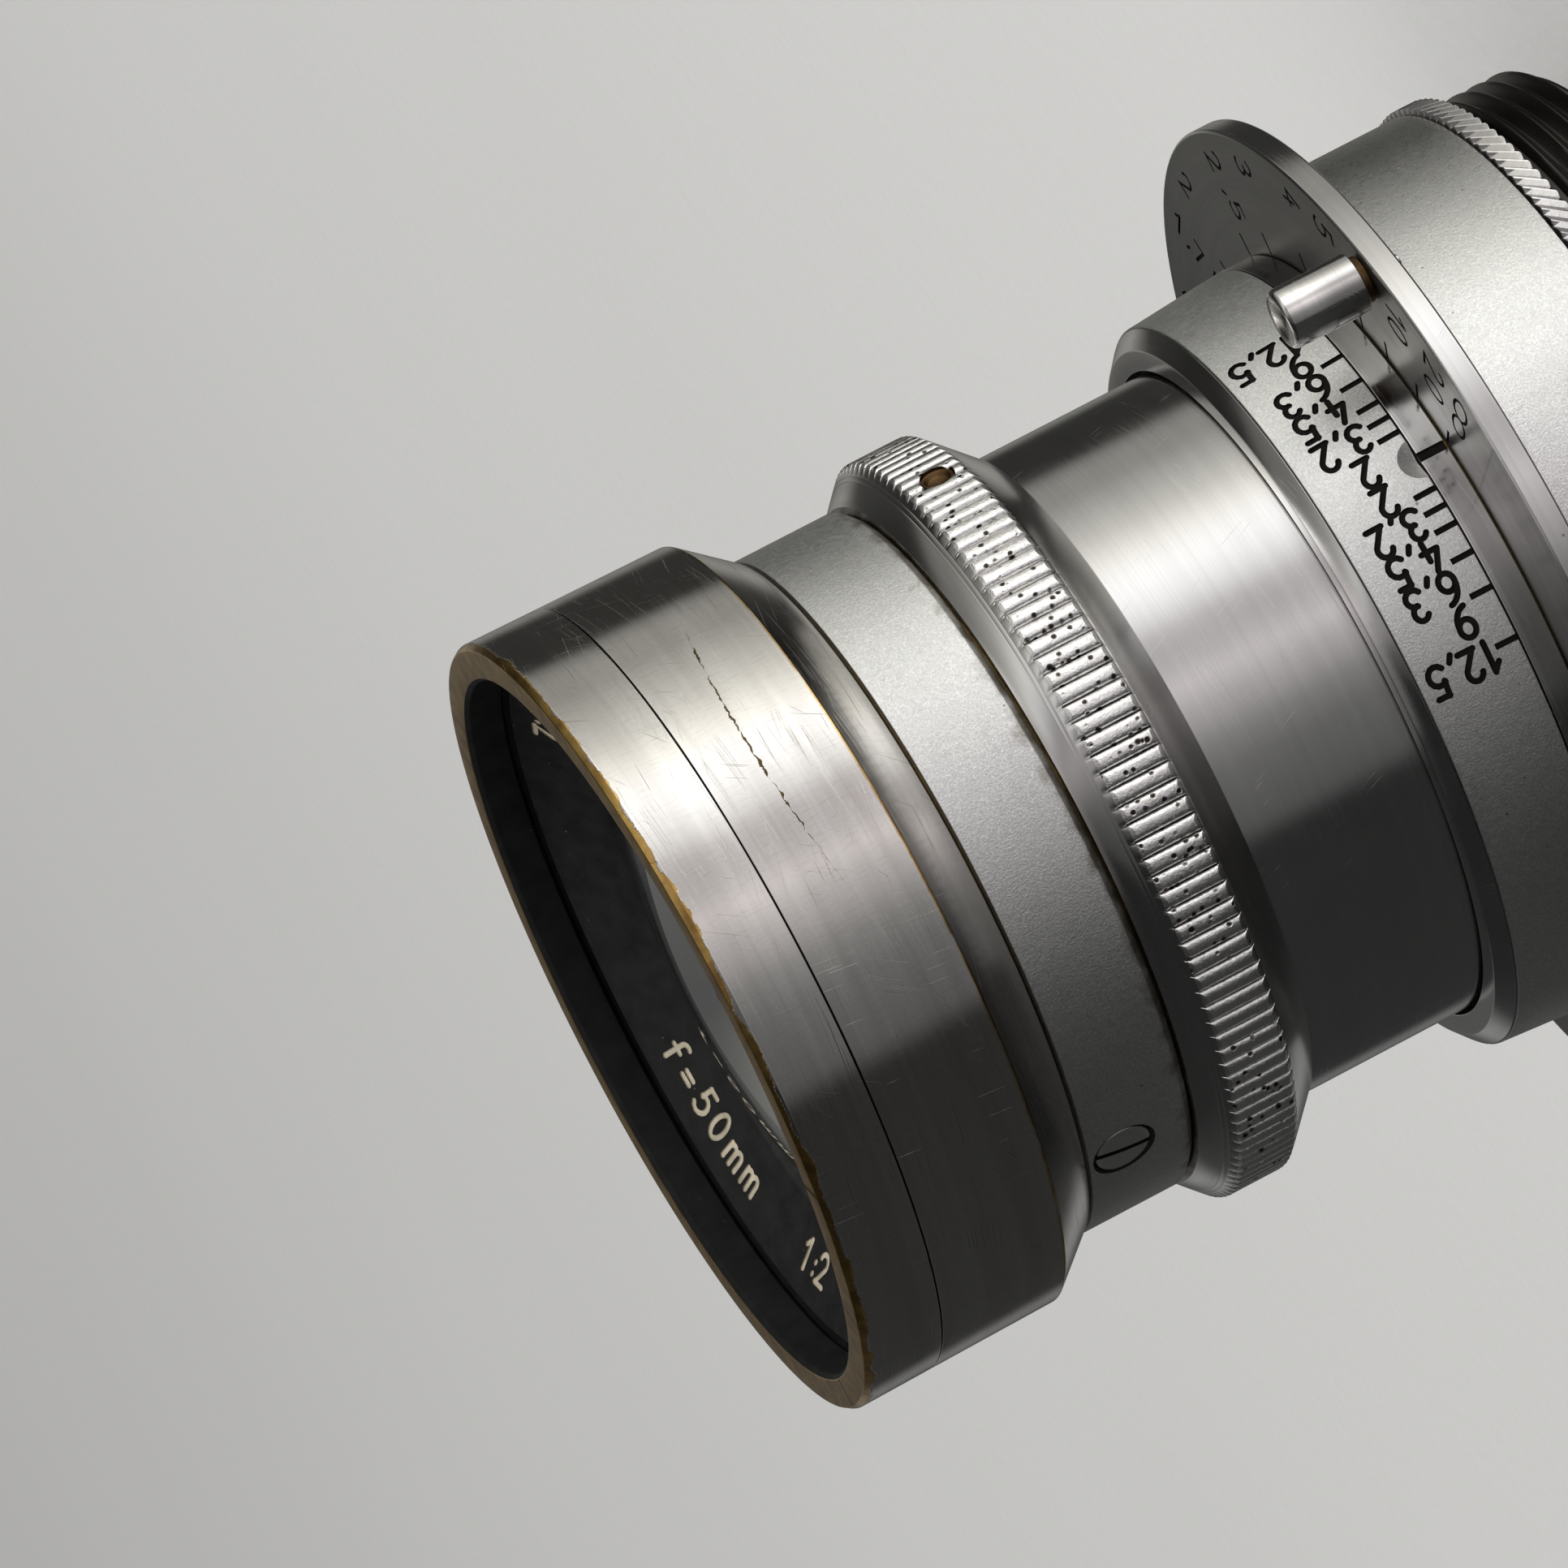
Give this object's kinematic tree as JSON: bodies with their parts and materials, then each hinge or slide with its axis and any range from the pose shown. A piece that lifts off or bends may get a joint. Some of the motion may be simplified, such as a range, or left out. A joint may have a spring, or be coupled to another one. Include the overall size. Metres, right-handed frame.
{
  "type": "prime camera lens",
  "caption": "Collapsible screw-mount prime lens with a distance flange, knurled grip, depth-of-field ring, push knob and turning aperture barrel with an iris.",
  "frame": {"origin": "centre of the rear rim of the rangefinder cam ring, which the lens stands on", "axes": "+Z along the optical axis towards the subject; the focusing index mark faces -Y; +X to the right of it"},
  "size_m": [0.0464, 0.0464, 0.055],
  "materials": {
    "satin_chrome": "bead-blasted satin",
    "bright_nickel": "turned bright, worn through to brass at the edges",
    "polished_steel": "polished with fine circular turning marks",
    "brass": "machined",
    "black_paint": "matte black",
    "blade_steel": "blued",
    "felt": "felt",
    "glass": "polished"
  },
  "bodies": {
    "mount": {"mount_base": "satin_chrome", "screw_mount_ring": "polished_steel", "helicoid_retaining_ring": "brass", "sleeve_guide_key": "polished_steel"},
    "focus_ring": {"distance_flange": "polished_steel", "helicoid_ring": "brass", "knob_post": "brass", "lock_spring": "polished_steel"},
    "lock_knob": {"lock_knob": "polished_steel"},
    "carriage": {"focusing_sleeve": "brass", "rangefinder_cam_ring": "polished_steel", "index_ring": "polished_steel", "depth_scale_ring": "satin_chrome", "felt_light_seal": "felt", "front_retaining_ring": "polished_steel"},
    "tube_slider": {"tube_slide_ring": "brass"},
    "head": {"collapsible_tube": "polished_steel", "tube_stop_ring": "brass", "knurled_grip_ring": "polished_steel", "aperture_index_pin": "brass", "satin_head_shell": "satin_chrome", "head_screw_1": "polished_steel", "head_screw_2": "polished_steel", "front_element": "glass", "front_doublet_outer": "glass", "front_doublet_inner": "glass", "rear_doublet_inner": "glass", "rear_doublet_outer": "glass", "rear_element": "glass", "front_lens_cell": "black_paint", "name_ring": "black_paint", "doublet_retaining_ring": "black_paint", "rear_lens_cell": "black_paint", "rear_spacer_ring": "black_paint", "rear_retaining_ring": "black_paint", "iris_pivot_plate": "brass"},
    "aperture_ring": {"aperture_barrel": "bright_nickel", "front_bezel": "bright_nickel", "iris_drive_sleeve": "brass", "iris_drive_plate": "brass"},
    "blade_1": {"iris_blade_1": "blade_steel"},
    "blade_2": {"iris_blade_2": "blade_steel"},
    "blade_3": {"iris_blade_3": "blade_steel"},
    "blade_4": {"iris_blade_4": "blade_steel"},
    "blade_5": {"iris_blade_5": "blade_steel"},
    "blade_6": {"iris_blade_6": "blade_steel"}
  },
  "joints": [
    {"name": "focus_turn", "type": "hinge", "parent": "mount", "child": "focus_ring", "pos_m": [0, 0, 0], "axis": [0, 0, -1], "range_deg": [0, 168]},
    {"name": "lock_press", "type": "slide", "parent": "focus_ring", "child": "lock_knob", "axis": [0, 0, -1], "range_m": [0, 0.0004], "stiffness_N_per_m": 300, "springref_m": -0.0012, "deforming": ["lock_spring"]},
    {"name": "focus_travel", "type": "slide", "parent": "mount", "child": "carriage", "axis": [0, 0, 1], "range_m": [0, 0.00263]},
    {"name": "tube_collapse", "type": "slide", "parent": "carriage", "child": "tube_slider", "axis": [0, 0, -1], "range_m": [0, 0.0082]},
    {"name": "tube_twist", "type": "hinge", "parent": "tube_slider", "child": "head", "pos_m": [0, 0, 0], "axis": [0, 0, 1], "range_deg": [-30, 0]},
    {"name": "aperture_turn", "type": "hinge", "parent": "head", "child": "aperture_ring", "pos_m": [0, 0, 0], "axis": [0, 0, 1], "range_deg": [-24, 46]},
    {"name": "blade_1_swing", "type": "hinge", "parent": "head", "child": "blade_1", "pos_m": [0.0134, 0, 0.0338], "axis": [0, 0, 1], "range_deg": [-10.9, 20.8]},
    {"name": "blade_2_swing", "type": "hinge", "parent": "head", "child": "blade_2", "pos_m": [0.0067, 0.0116, 0.0338], "axis": [0, 0, 1], "range_deg": [-10.9, 20.8]},
    {"name": "blade_3_swing", "type": "hinge", "parent": "head", "child": "blade_3", "pos_m": [-0.0067, 0.0116, 0.0338], "axis": [0, 0, 1], "range_deg": [-10.9, 20.8]},
    {"name": "blade_4_swing", "type": "hinge", "parent": "head", "child": "blade_4", "pos_m": [-0.0134, 0, 0.0338], "axis": [0, 0, 1], "range_deg": [-10.9, 20.8]},
    {"name": "blade_5_swing", "type": "hinge", "parent": "head", "child": "blade_5", "pos_m": [-0.0067, -0.0116, 0.0338], "axis": [0, 0, 1], "range_deg": [-10.9, 20.8]},
    {"name": "blade_6_swing", "type": "hinge", "parent": "head", "child": "blade_6", "pos_m": [0.0067, -0.0116, 0.0338], "axis": [0, 0, 1], "range_deg": [-10.9, 20.8]}
  ],
  "couplings": [
    {"joint": "focus_travel", "follows": "focus_turn", "m_per_rad": 0.00089127},
    {"joint": "blade_1_swing", "follows": "aperture_turn", "ratio": 0.45},
    {"joint": "blade_2_swing", "follows": "aperture_turn", "ratio": 0.45},
    {"joint": "blade_3_swing", "follows": "aperture_turn", "ratio": 0.45},
    {"joint": "blade_4_swing", "follows": "aperture_turn", "ratio": 0.45},
    {"joint": "blade_5_swing", "follows": "aperture_turn", "ratio": 0.45},
    {"joint": "blade_6_swing", "follows": "aperture_turn", "ratio": 0.45}
  ]
}
